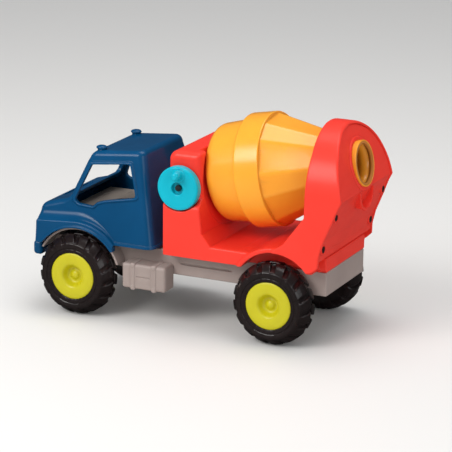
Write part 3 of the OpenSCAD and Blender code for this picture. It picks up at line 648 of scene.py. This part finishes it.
def body(x, y, z):
    ay = np.abs(y)
    o = body_outer(x, y, z)
    slant = x - (122.2 - (z - 140.7) * math.tan(T))
    cav = np.maximum(o + 3.0, np.minimum(slant, z - 81.0))
    f = rmax(o, -cav, 0.4)
    # deck between the wheels and the hump over them
    deck = rbox(x, y, z, (172, -47.4, 58), (255, 47.4, 84), 1.0)
    f = rmin(f, deck, 1.0)
    f = rmin(f, hump(x, y, z), 2.0)
    # hoop
    hf = hoop_front(y, z)
    hs = soft(x, z, HOOP, 0.8)
    hoop = rmax(hf, hs, 1.8)
    hoop = rmax(hoop, -(hf + 3.0), 0.9)
    f = rmin(f, hoop, 2.2)
    # ledges inside the hoop that the rear panel is screwed to
    for zz, xe in ((96, 251.9), (128, 263.4)):
        post = rmax(np.hypot(ay - 58, z - zz) - 4.0, np.maximum(x - xe, xe - 10 - x), 0.4)
        web = rbox(x, ay, z, (xe - 10, 58, zz - 1.5), (xe - 2, 65.5, zz + 1.5), 0.3)
        f = rmin(f, np.maximum(np.minimum(post, web), hf + 1.6), 0.6)
    # hollows
    f = rmax(f, -rmax(rbox(x, y, z, (171, -44.4, 50), (252, 44.4, 81), 1.0), z - 81.0), 0.4)
    well = np.hypot(x - 210.8, z - 45.6) - 42.6
    f = rmax(f, -np.maximum(well, np.where(ay > 45.9, 47.4 - ay, ay - 44.4)), 0.8)
    # pocket the drum nests in
    s, r, _ = drum_coords(x, y, z)
    f = rmax(f, -np.maximum(r - 49.2, np.maximum(-37.6 - s, s - 20)), 1.2)
    f = np.maximum(f, -np.maximum(r - 3.2, np.maximum(s + 30, -50 - s)))
    f = np.maximum(f, -np.maximum(np.hypot(x - GX, z - GZ) - 3.1, y + 40))
    # above the chassis
    f = rmax(f, np.where((x > 186) & (ay > 47.0), 72.4, 70.0) - z, 0.7)
    clear = rbox(x, y, z, (88, -46.1, 40), (265, 46.1, 70.1), 0.05)
    return np.maximum(f, -clear) * 0.97


HOLLOW = [(195, 60), (195, 212), (247, 212), (254, 201), (257.6, 193.5), (261.7, 182.5), (265.7, 169), (269.2, 156.4),
          (271.9, 143.4), (268.2, 136), (262.1, 120.3), (255, 103.4), (251.6, 90.6), (251, 72), (251, 60)]
SEATS = [(96, 254.9), (128, 266.95)]


def panel(x, y, z):
    s, r, _ = drum_coords(x, y, z)
    hs = poly(x, z, HOOP)
    inner = hoop_front(y, z) + 3.1
    p = rmax(rmax(inner, hs + 1.3, 0.6), -poly(x, z, HOLLOW), 0.5)
    p = np.maximum(p, 84.2 - z)
    collar = rmax(rmax(r - 25.5, np.maximum(98 - s, hs), 0.8), s - 117.5, 1.0)
    p = rmin(p, collar, 1.2)
    # spout under the mouth
    k = math.radians(11)
    dx, dz = x - 254, z - 143
    q = np.hypot(dx * math.sin(k) + dz * math.cos(k), y)
    along = dx * math.cos(k) - dz * math.sin(k)
    sp = np.maximum(np.maximum(np.abs(q - 15.5) - 1.5, z - 142), np.maximum(-along, x - 275.6))
    p = rmin(p, np.maximum(sp, 258 - x), 1.0)
    for zz, xs in SEATS:
        d = np.hypot(np.abs(y) - 58, z - zz)
        boss = rmax(d - 4.9, np.maximum(x - xs - 1.7, xs - 2.0 - x), 0.6)
        p = rmin(p, np.maximum(boss, inner), 0.8)
        p = rmax(p, -np.maximum(d - 3.3, xs - x), 0.3)
    return np.maximum(p, 22.05 - r)


# ---------------------------------------------------------------- drum
def cone_skin(s, r, ph, off=0.0):
    k = 0.4
    R = 53.9 - (s - 25.0) * k
    w = np.mod(ph - math.radians(36) + math.radians(30), math.radians(60)) - math.radians(30)
    c1, c2 = math.cos(math.radians(12)), math.cos(math.radians(18))
    dn = (r * np.cos(w) - R * c1) / math.sqrt(1 + (k * c1) ** 2)
    dw = (r * np.cos(np.abs(w) - math.radians(30)) - R * c2) / math.sqrt(1 + (k * c2) ** 2)
    return rmax(dn, dw, 0.9) + off


def drum_cone(x, y, z):
    s, r, ph = drum_coords(x, y, z)
    ring = rmax(rmax(r - 55.0, -s, 2.6), s - 26.4, 0.8)
    cone = rmax(rmax(cone_skin(s, r, ph), s - 95.0, 1.2), 23.4 - s)
    tube = np.maximum(r - 21.8, np.maximum(85 - s, s - 97.5))
    f = rmin(rmin(ring, cone, 0.35), tube, 1.2)
    inner = np.maximum(np.maximum(cone_skin(s, r, ph, 2.7), s - 92.0), np.maximum(r - 52.3, 3.2 - s))
    f = rmax(f, -inner, 0.4)
    f = rmax(f, -np.maximum(r - 49.85, s - 4.0), 0.4)
    return rmax(f, -np.maximum(r - 19.7, 80 - s), 0.5)


def drum_cup(x, y, z):
    s, r, _ = drum_coords(x, y, z)
    wall = ((r - 46.5) * 32.3 - (s + 35.3) * 3.0) / math.hypot(32.3, 3.0)
    f = rmax(wall, -35.3 - s, 9.0)
    f = rmax(f, s - 1.5, 0.3)
    f = np.maximum(f, -rmax(rmax(wall + 2.5, -32.8 - s, 7.0), s - 40))
    # turned bead round the front face
    f = rmax(f, -(np.hypot(s + 35.6, r - 33.0) - 1.0), 0.4)
    hub = np.maximum(r - 9, np.maximum(-33 - s, s + 20))
    f = rmin(f, hub, 1.0)
    return np.maximum(f, 3.02 - r)


# ---------------------------------------------------------------- crank
def crank(x, y, z):
    px, pz = x - GX, z - GZ
    d = -56.5 - y                                   # depth outwards from the back of the disc
    r = np.hypot(px, pz)
    f = rmax(rmax(r - 21.3, d - 8.5, 2.4), -d, 1.0)
    q = np.hypot(px - 1.5, pz - 13.5)
    e = d - 7.5
    base = rmax(q - 6.2, np.maximum(e - 1.9, -e), 0.7)
    rod = np.where(e > 7.0, np.hypot(q, e - 7.0) - 4.5, np.maximum(q - 4.5 - 0.06 * np.maximum(7 - e, 0), -e))
    rod = np.maximum(rod, e - 11.0)
    f = rmin(f, base, 0.8)
    f = rmin(f, rod, 1.2)
    f = rmax(f, -np.maximum(r - 6.0, 4.3 - d), 0.9)
    # shallow groove round the face
    f = rmax(f, -(np.hypot(r - 19.2, d - 8.9) - 0.55), 0.3)
    return np.maximum(f, 3.02 - r)


# ---------------------------------------------------------------- wheels (left wheel, y from -75 inwards)
TYRE = [(23.35, 1.3), (25.0, 0.75), (28.0, 0.25), (30.6, 0.0), (32.4, 0.35), (34.0, 1.5), (36.6, 4.6), (39.0, 8.2), (39.8, 10.6),
        (40.0, 13.0), (40.0, 17.5), (39.3, 20.8), (36.4, 25.0), (33.4, 26.6), (31.0, 27.0), (20.4, 27.0), (20.4, 5.3), (23.35, 4.2)]
FLOOR = [(23.35, 1.3), (25.0, 0.75), (28.0, 0.25), (30.6, 0.0), (32.4, 0.35), (33.4, 1.6), (34.6, 4.8), (36.2, 8.6), (36.8, 11.0),
         (37.1, 13.0), (37.1, 17.5), (36.4, 20.2), (34.4, 24.2), (32.4, 26.2), (31.0, 27.0), (20.4, 27.0), (20.4, 5.3), (23.35, 4.2)]
PITCH = 2 * math.pi / 16


def tyre_at(cx):
    def f(x, y, z):
        px, pz = x - cx, z - 38.5
        r = np.hypot(px, pz)
        th = np.arctan2(pz, px)
        d = y + 75.0
        body_ = poly(r, d, FLOOR)
        lugs = poly(r, d, TYRE)
        outer = d < 12.9
        ph = np.where(outer, 0.0, 0.5) * PITCH + np.where(outer, (d - 12.9) * 0.010, (d - 12.9) * -0.010)
        t = np.abs(np.mod(th - ph, PITCH) - PITCH / 2) * r
        half = np.where(outer, 5.5 - 0.10 * (12.9 - d), 5.4)
        m = np.maximum(t - half, 0.75 - np.abs(d - 12.9))
        lug = rmax(lugs, m, 0.9)
        g = rmin(body_, lug, 0.9)
        # thin groove round the sidewall
        g = rmax(g, -(np.hypot(r - 27.2, d + 0.15) - 0.75), 0.3)
        return g * 0.95
    return f


RIM = [(0, 5.3, 0), (1.6, 5.45, 0.8), (3.4, 6.3, 1.2), (4.4, 7.6, 0.8), (5.6, 8.3, 0.8), (7.2, 8.2, 1.0), (8.6, 6.9, 1.2), (9.6, 4.4, 1.5),
       (10.5, 2.3, 1.0), (11.8, 1.15, 1.0), (14.5, 0.62, 1.5), (18.0, 0.42, 1.5), (21.2, 0.75, 1.2), (22.7, 1.35, 0.7), (23.25, 2.1, 0.4), (23.28, 4.0, 0.4),
       (20.3, 5.2, 0.4), (20.3, 23, 0.5), (17.8, 23, 0.5), (17.8, 12, 0.5), (7, 12, 1.0), (7, 26.9, 0.5), (2.56, 26.9, 0.3), (2.56, 8.9, 0), (0, 8.9, 0)]


# ---------------------------------------------------------------- chassis
def chassis(x, y, z):
    ay = np.abs(y)
    f = rbox(x, y, z, (-36, -46, 46.5), (255, 46, 70), 1.0)
    for cx in (0.0, 208.0):
        ped = soft(x, z, [(cx - 13, 55), (cx + 13, 55), (cx + 13, 50.5), (cx + 9, 31.5), (cx - 9, 31.5), (cx - 13, 50.5)], 2.5)
        f = rmin(f, rmax(ped, np.maximum(ay - 46, 30 - ay), 0.7), 1.2)
    a = np.hypot(x, z - 38.5)
    lin = rmax(np.abs(a - 44.75) - 1.15, np.maximum(ay - 62, 44 - ay), 0.5)
    lin = np.maximum(lin, 52 - z)
    lin = np.maximum(lin, -np.maximum(x + 37.5, z - 60))
    f = rmin(f, lin, 0.7)
    for x0, x1 in ((-33, 30), (33, 100), (103, 158), (161, 252)):
        f = rmax(f, -rbox(x, y, z, (x0, -27, 30), (x1, 27, 67), 1.2), 0.5)
    for x0, x1 in ((-33, -14), (14, 100), (103, 194), (222, 252)):
        f = rmax(f, -rbox(x, ay, z, (x0, 30, 30), (x1, 43, 67), 1.0), 0.5)
    # stiffening ribs in the hollows
    for xr in (66.5, 130.5, 206.5):
        f = rmin(f, rbox(x, y, z, (xr - 0.8, -27.5, 54), (xr + 0.8, 27.5, 68), 0.4), 0.5)
    f = rmin(f, rbox(x, y, z, (-34, -0.8, 54), (253, 0.8, 68), 0.4), 0.5)
    # moulded line along the rail
    f = rmax(f, -rbox(x, ay, z, (102, 45.4, 57.4), (158, 47, 58.4), 0.2), 0.2)
    for cx in (0.0, 208.0):
        f = np.maximum(f, 2.55 - np.hypot(x - cx, z - 38.5))
    return f


def side_box(x, y, z):
    x0, x1 = 49.5, 96.0
    d = -y                                            # outwards
    f = rbox(x, d, z, (x0, 44, 32), (x1, 65, 57), 2.8)
    f = rmax(f, 46.02 - d, 0.5)
    # lid line and panel lines
    f = rmax(f, -rbox(x, d, z, (x0 + 15.6, 64.3, 44.2), (x0 + 30.4, 67, 45.2), 0.2), 0.3)
    for s0 in (9.0, 31.5):
        st = rbox(x, d, z, (x0 + s0, 40, 31), (x0 + s0 + 5.5, 66, 58), 1.8)
        st = np.maximum(st, 46.02 - d)
        f = rmin(f, st, 0.35)
        f = rmax(f, -rbox(x, d, z, (x0 + s0 + 1.2, 65.6, 36), (x0 + s0 + 4.3, 67, 54), 0.3), 0.25)
    return rmax(f, -rbox(x, d, z, (x0 + 3, 40, 35), (x1 - 3, 62, 54), 1.0), 0.4)


# ---------------------------------------------------------------- pieces
build("cab_body", cab, (-54, -70, 48), (84, 70, 165), 0.75, "truck", BLUE, ("cab_shell",), keep=0.55)
build("cab_tray", tray, (-23, -46, 68), (58, 46, 114), 1.1, "truck", TRAY, ("cab_seat_tray",), keep=0.35)
build("mixer_body", body, (89, -72, 68), (279, 72, 208), 0.95, "truck", RED, ("body_shell",), keep=0.45)
build("rear_panel", panel, (246, -68, 82), (278, 68, 206), 0.9, "truck", RED, ("hoop_back_panel",), keep=0.35)
build("drum_back", drum_cone, (149, -58, 84), (281, 58, 210), 0.95, "drum", AMBER, ("drum_rear_cone",), keep=0.35)
build("drum_front", drum_cup, (112, -53, 84), (180, 53, 202), 0.95, "drum", AMBER, ("drum_front_cup",), keep=0.30)
build("crank_wheel", crank, (GX - 23, -77, GZ - 23), (GX + 23, -54, GZ + 23), 0.5, "crank", CYAN, ("crank_disc",), keep=0.35)
build("chassis_tub", chassis, (-48, -64, 29), (257, 64, 86), 1.2, "truck", GREY, ("chassis_frame",), keep=0.30)


def mirrored(src, name, body, stands, dx=0.0, flip=True):
    """A copy of a piece, moved along X and mirrored to the other side."""
    me = src.data.copy()
    me.name = name
    n = len(me.vertices)
    co = np.zeros(n * 3, np.float32)
    me.vertices.foreach_get("co", co)
    nr = np.zeros(len(me.loops) * 3, np.float32)
    me.corner_normals.foreach_get("vector", nr)
    co, nr = co.reshape(-1, 3), nr.reshape(-1, 3)
    co[:, 0] += dx
    vn = np.zeros((n, 3), np.float32)
    li = np.zeros(len(me.loops), np.int32)
    me.loops.foreach_get("vertex_index", li)
    vn[li] = nr
    if flip:
        co[:, 1] *= -1
        vn[:, 1] *= -1
        me.flip_normals()
    me.vertices.foreach_set("co", co.ravel())
    me.update()
    me.normals_split_custom_set_from_vertices(vn.tolist())
    ob = bpy.data.objects.new(name, me)
    COLL.objects.link(ob)
    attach(ob, body)
    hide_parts(*stands)
    return ob


bl = build("toolbox_left", side_box, (47, -68, 29), (98, -44, 60), 0.6, "truck", GREY, ("side_box_left",), keep=0.35)
mirrored(bl, "toolbox_right", "truck", ("side_box_right",))
tl = build("tyre_front_left", tyre_at(0.0), (-42, -76, -3.2), (42, -46, 80.2), 0.72, "front_wheels", BLACK, ("front_tyre_left",), keep=0.5)
mirrored(tl, "tyre_front_right", "front_wheels", ("front_tyre_right",))
mirrored(tl, "tyre_rear_left", "rear_wheels", ("rear_tyre_left",), dx=0.208, flip=False)
mirrored(tl, "tyre_rear_right", "rear_wheels", ("rear_tyre_right",), dx=0.208)
for axle, cx, bd in (("front", -112.0, "front_wheels"), ("rear", 96.0, "rear_wheels")):
    for sd, sg in (("left", 1), ("right", -1)):
        lathe(f"rim_{axle}_{sd}", RIM, 128, (cx, -75.0 * sg, 40.0), (0, sg, 0), bd, YELLOW, (f"{axle}_rim_{sd}",))

lathe("drum_mouth", [(19.5, 94.4, 0.2), (22.0, 94.4, 0.2), (22.0, 112.0, 0.6), (20.85, 112.0, 0.4), (20.85, 108.0, 0.2), (19.5, 108.0, 0.2)], 160,
      (DX0 + XO, 0, DZ0 + ZO), (CT, 0, ST), "drum", AMBER, ("drum_rear_cone",))
lathe("mouth_ring", [(18.7, 108.2, 0.3), (20.75, 108.2, 0.3), (20.75, 112.0, 0.5), (18.7, 112.0, 0.9)], 128,
      (DX0 + XO, 0, DZ0 + ZO), (CT, 0, ST), "drum", RUBBER, ("mouth_seal_ring",))

SLOTS = {"crank_bracket": RED, "bracket_screws": SCREW, "drum_spindle": STEEL, "crown_gear": WHITE, "drum_screw": SCREW,
         "spindle_washer": WHITE, "crank_shaft": STEEL, "crank_pinion": WHITE, "crank_screw": SCREW,
         "crank_washer": WHITE, "front_axle": STEEL, "rear_axle": STEEL, "front_axle_spacers": WHITE, "rear_axle_spacers": WHITE,
         "cab_screws": SCREW, "body_screws": SCREW, "side_box_screws": SCREW, "panel_screws": SCREW}
for n, m in SLOTS.items():
    o = NODES[n]
    o.data.materials.clear()
    o.data.materials.append(m)
    bv = o.modifiers.new("edge", "BEVEL")
    bv.width = 0.00025
    bv.segments = 2
    bv.limit_method = "ANGLE"
    bv.angle_limit = math.radians(40)
    bv.harden_normals = False


# ---------------------------------------------------------------- stage, light and camera
def floor_material():
    m = bpy.data.materials.new("floor")
    m.use_nodes = True
    N, L = m.node_tree.nodes, m.node_tree.links
    b = N["Principled BSDF"]
    b.inputs["Base Color"].default_value = (0.80, 0.79, 0.77, 1)
    b.inputs["Roughness"].default_value = 0.6
    lp = N.new("ShaderNodeLightPath")
    mc = N.new("ShaderNodeMix")
    mc.data_type = "RGBA"
    mc.inputs[6].default_value = (0.80, 0.79, 0.77, 1)
    mc.inputs[7].default_value = (0.07, 0.068, 0.065, 1)
    L.new(lp.outputs["Is Glossy Ray"], mc.inputs[0])
    L.new(mc.outputs[2], b.inputs["Base Color"])
    tr = N.new("ShaderNodeBsdfTransparent")
    ge = N.new("ShaderNodeNewGeometry")
    mx = N.new("ShaderNodeMixShader")
    L.new(ge.outputs["Backfacing"], mx.inputs[0])
    L.new(b.outputs[0], mx.inputs[1])
    L.new(tr.outputs[0], mx.inputs[2])
    L.new(mx.outputs[0], N["Material Output"].inputs["Surface"])
    return m


fm = bpy.data.meshes.new("floor")
fm.from_pydata([(-6, -6, 0), (6, -6, 0), (6, 9, 0), (-6, 9, 0)], [], [(0, 1, 2, 3)])
fm.update()
fm.materials.append(floor_material())
floor = bpy.data.objects.new("floor", fm)
COLL.objects.link(floor)


def area(name, pos, target, size, power, col=(1, 1, 1), soft_edge=True):
    d = bpy.data.lights.new(name, "AREA")
    d.shape = "RECTANGLE"
    d.size, d.size_y = size
    d.energy = power
    d.color = col
    if soft_edge:
        # a softbox, bright in the middle and fading out to its edges
        d.use_nodes = True
        N, L = d.node_tree.nodes, d.node_tree.links
        em = N["Emission"]
        ge = N.new("ShaderNodeNewGeometry")
        se = N.new("ShaderNodeSeparateXYZ")
        L.new(ge.outputs["Parametric"], se.inputs[0])

        def op(kind, a, b):
            n = N.new("ShaderNodeMath")
            n.operation = kind
            for i, v in enumerate((a, b)):
                if isinstance(v, (int, float)):
                    n.inputs[i].default_value = v
                else:
                    L.new(v, n.inputs[i])
            return n.outputs[0]

        u = op("MULTIPLY", se.outputs[0], op("SUBTRACT", 1.0, se.outputs[0]))
        v = op("MULTIPLY", se.outputs[1], op("SUBTRACT", 1.0, se.outputs[1]))
        L.new(op("MULTIPLY", op("MULTIPLY", u, v), 36.0), em.inputs["Strength"])
    o = bpy.data.objects.new(name, d)
    COLL.objects.link(o)
    o.location = pos
    o.rotation_euler = (Vector(target) - Vector(pos)).to_track_quat("-Z", "Y").to_euler()
    return o


area("key", (-0.62, -1.30, 1.20), (0, 0, 0.08), (1.35, 1.15), 20, (1.0, 0.985, 0.965))
area("top", (0.10, 0.25, 1.55), (0, 0, 0.1), (1.5, 1.0), 9)
area("fill", (1.45, -0.95, 0.75), (0, 0, 0.1), (1.2, 1.2), 4, (0.97, 0.985, 1.0))
# a small far window, which glints on the drum's wide stave
area("window", (0.435, -1.598, 1.378), (0.089, -0.044, 0.1685), (0.085, 0.020), 0.10, soft_edge=False)
w = bpy.data.worlds.new("world")
w.use_nodes = True
bg = w.node_tree.nodes["Background"]
bg.inputs[0].default_value = (0.93, 0.94, 0.96, 1)
lp = w.node_tree.nodes.new("ShaderNodeLightPath")
mr = w.node_tree.nodes.new("ShaderNodeMapRange")
mr.inputs["To Min"].default_value = 0.62
mr.inputs["To Max"].default_value = 0.06
w.node_tree.links.new(lp.outputs["Is Glossy Ray"], mr.inputs["Value"])
w.node_tree.links.new(mr.outputs["Result"], bg.inputs[1])
bpy.context.scene.world = w
bpy.context.scene.view_settings.view_transform = "Standard"

cam = bpy.data.cameras.new("camera")
cam.sensor_width = 36.0
cam.lens = 189.194
cam.clip_start, cam.clip_end = 0.05, 50
co = bpy.data.objects.new("camera", cam)
COLL.objects.link(co)
right = Vector((0.9036188, 0.4282244, 0.0098416))
upv = Vector((-0.1268583, 0.2456036, 0.9610337))
back = Vector((0.4091210, -0.8696567, 0.2762559))
M = Matrix((right, upv, back)).transposed().to_4x4()
M.translation = Vector((0.9575629, -1.9985726, 0.7236488))
co.matrix_world = M
bpy.context.scene.camera = co
